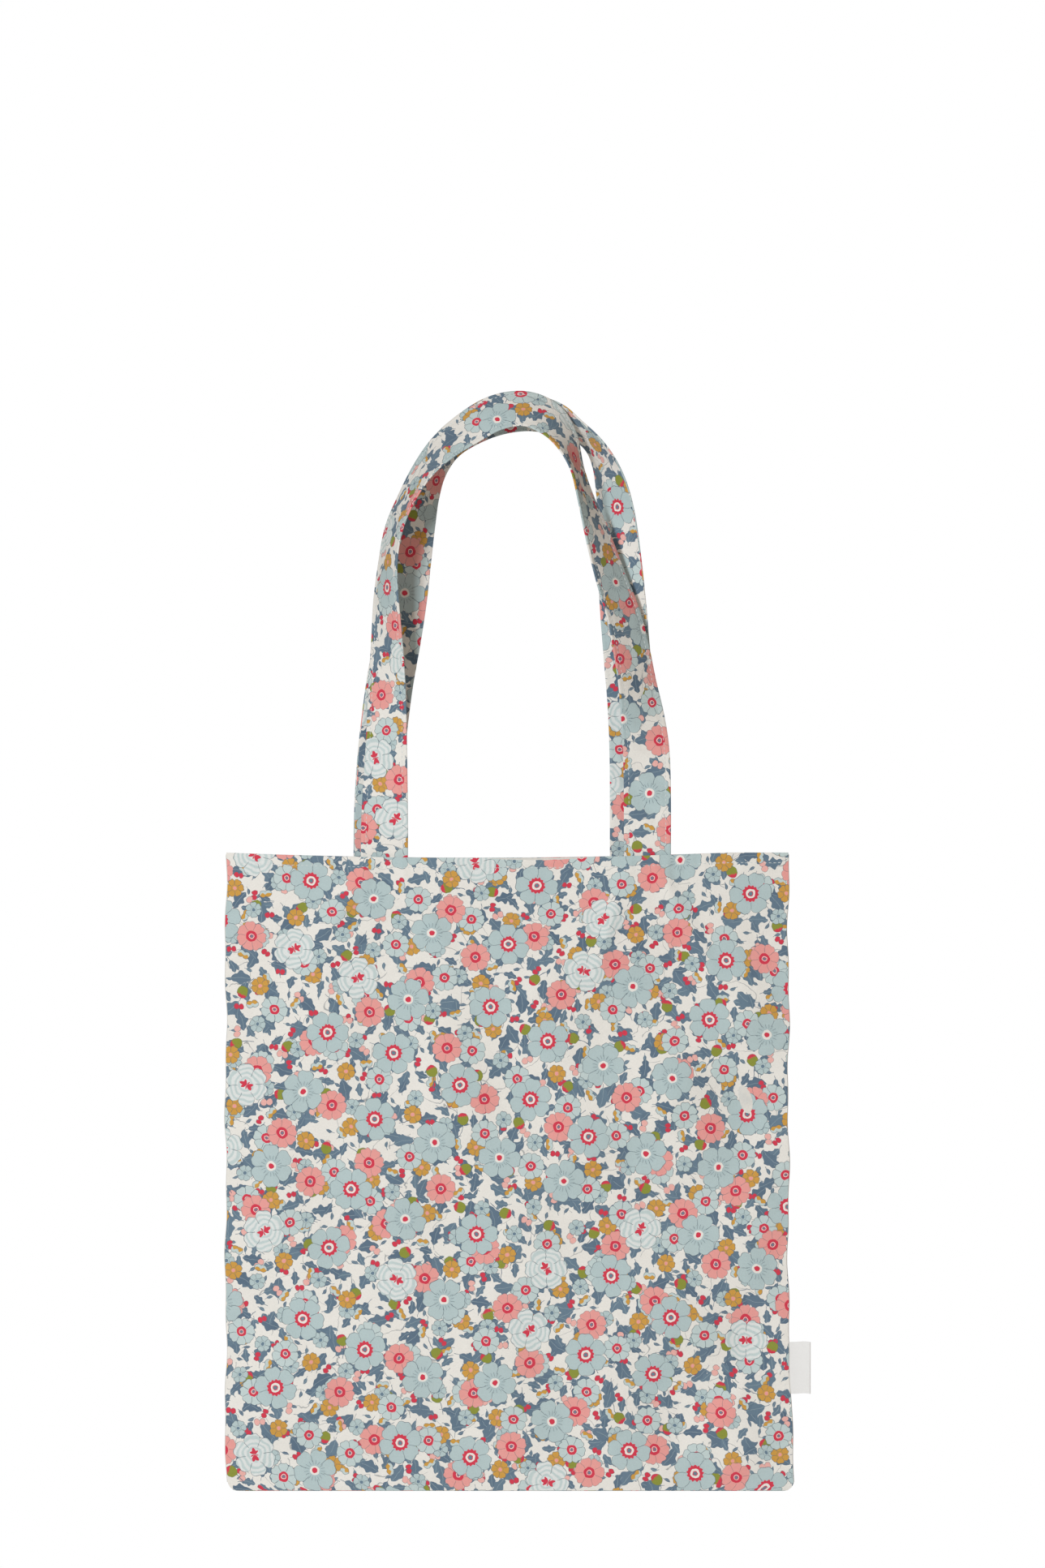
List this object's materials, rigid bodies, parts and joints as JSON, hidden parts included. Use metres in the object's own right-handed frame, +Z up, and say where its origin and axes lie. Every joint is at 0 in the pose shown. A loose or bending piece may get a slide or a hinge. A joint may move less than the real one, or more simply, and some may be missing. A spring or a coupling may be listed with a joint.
{
  "type": "foldable tote bag",
  "caption": "Flat cotton tote bag with long shoulder straps, a stitched hem and a side label; its body folds in thirds.",
  "frame": {"origin": "middle of the bottom seam's underside", "axes": "+Z up, from the bottom seam to the straps; the front panel faces -Y; +X to the right seen from the front"},
  "size_m": [0.3845, 0.0552, 0.7221],
  "materials": {
    "print": "matte printed cotton",
    "seam": "matte cotton, wrong side of the cloth",
    "thread": "matte sewing thread",
    "label": "matte woven tape"
  },
  "bodies": {
    "root": {"front_panel_upper": "print", "back_panel_upper": "print", "side_seam_upper_left": "seam", "side_seam_upper_right": "seam", "front_hem_facing": "seam", "front_hem_stitching": "thread", "front_strap_end_left": "print", "front_strap_end_right": "print", "front_strap_tack_left": "thread", "front_strap_tack_right": "thread"},
    "mouth": {"back_panel_mouth": "print", "back_hem_facing": "seam", "back_hem_stitching": "thread", "back_strap_end_left": "print", "back_strap_end_right": "print", "back_strap_tack_left": "thread", "back_strap_tack_right": "thread"},
    "middle": {"front_panel_middle": "print", "back_panel_middle": "print", "side_seam_middle_left": "seam", "side_seam_middle_right": "seam"},
    "lower": {"front_panel_lower": "print", "back_panel_lower": "print", "side_seam_lower_left": "seam", "side_seam_lower_right": "seam", "bottom_seam": "seam", "side_label_stitching": "thread"},
    "label": {"side_label": "label"},
    "front_strap": {"front_strap": "print", "front_strap_outer_stitching": "thread", "front_strap_inner_stitching": "thread"},
    "back_strap": {"back_strap": "print", "back_strap_outer_stitching": "thread", "back_strap_inner_stitching": "thread"}
  },
  "joints": [
    {"name": "upper_fold", "type": "hinge", "parent": "root", "child": "middle", "pos_m": [0, -0.0075, 0.26], "axis": [-1, 0, 0], "range_deg": [0, 177]},
    {"name": "lower_fold", "type": "hinge", "parent": "middle", "child": "lower", "pos_m": [0, 0.0075, 0.13], "axis": [1, 0, 0], "range_deg": [0, 177]},
    {"name": "mouth_opening", "type": "hinge", "parent": "root", "child": "mouth", "pos_m": [0, 0.0105, 0.29], "axis": [-1, 0, 0], "range_deg": [0, 15]},
    {"name": "front_strap_swing", "type": "hinge", "parent": "root", "child": "front_strap", "pos_m": [0, -0.014, 0.422], "axis": [1, 0, 0], "range_deg": [0, 115]},
    {"name": "back_strap_swing", "type": "hinge", "parent": "mouth", "child": "back_strap", "pos_m": [0, 0.014, 0.422], "axis": [-1, 0, 0], "range_deg": [0, 115]},
    {"name": "label_flap", "type": "hinge", "parent": "lower", "child": "label", "pos_m": [0.187, 0, 0.081], "axis": [0, 0, 1], "range_deg": [-75, 75], "stiffness_Nm_per_rad": 0.0001}
  ],
  "couplings": [
    {"joint": "lower_fold", "follows": "upper_fold", "ratio": 1}
  ]
}
